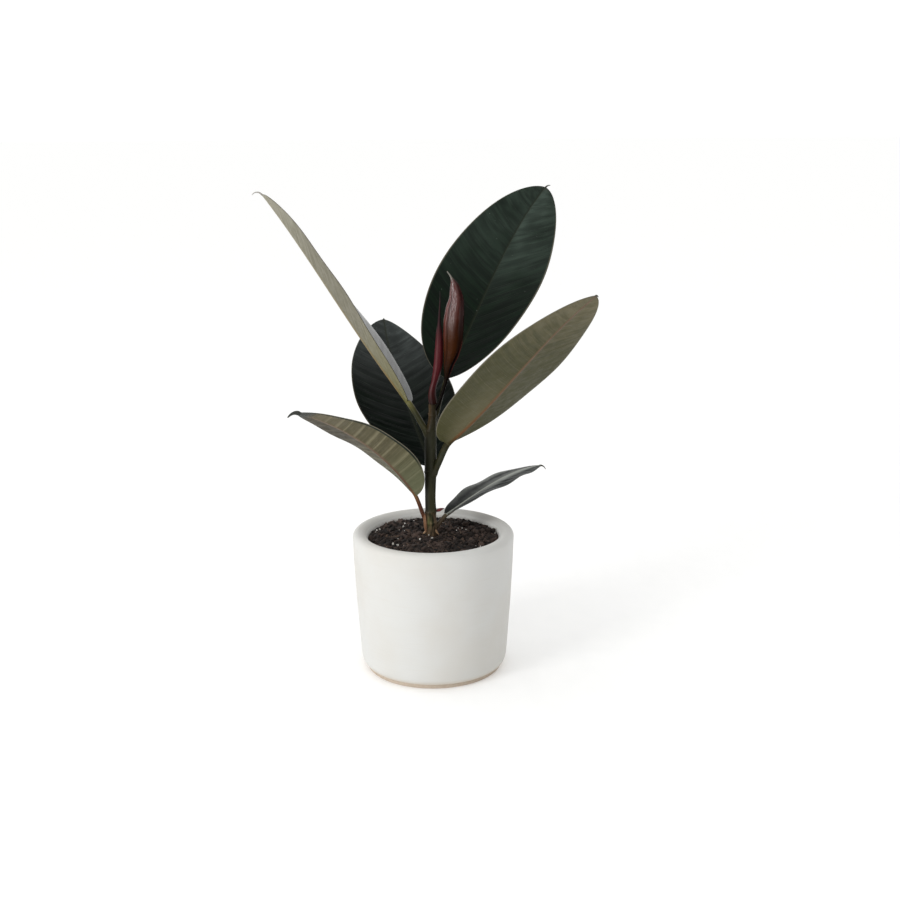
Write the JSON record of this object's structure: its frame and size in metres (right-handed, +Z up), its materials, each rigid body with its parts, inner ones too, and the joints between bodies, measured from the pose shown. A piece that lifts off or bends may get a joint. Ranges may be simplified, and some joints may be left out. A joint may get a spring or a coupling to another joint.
{
  "type": "potted rubber plant",
  "caption": "Young rubber plant with broad, dark, leathery leaves and a rolled red new leaf, in a round thick-walled white ceramic pot.",
  "frame": {"origin": "middle of the pot's flat foot, on the surface that it stands on", "axes": "+Z up along the pot's axis; +X towards the plant's right and -Y towards the viewer, as the picture shows it"},
  "size_m": [0.3037, 0.2955, 0.4385],
  "materials": {
    "ceramic": "matte",
    "potting_mix": "matte",
    "stem": "satin",
    "leaf": "satin",
    "sheath": "satin",
    "new_leaf": "gloss",
    "dry_scale": "matte",
    "red_spur": "matte"
  },
  "bodies": {
    "root": {"dry_scale": "dry_scale", "leaf_lower_left": "leaf", "leaf_lower_right": "leaf", "leaf_middle_back": "leaf", "leaf_right": "leaf", "leaf_upper_left": "leaf", "leaf_upper_right": "leaf", "pot": "ceramic", "red_spur": "red_spur", "rolled_new_leaf": "new_leaf", "soil": "potting_mix", "stem": "stem", "tip_sheath": "sheath"}
  },
  "joints": []
}
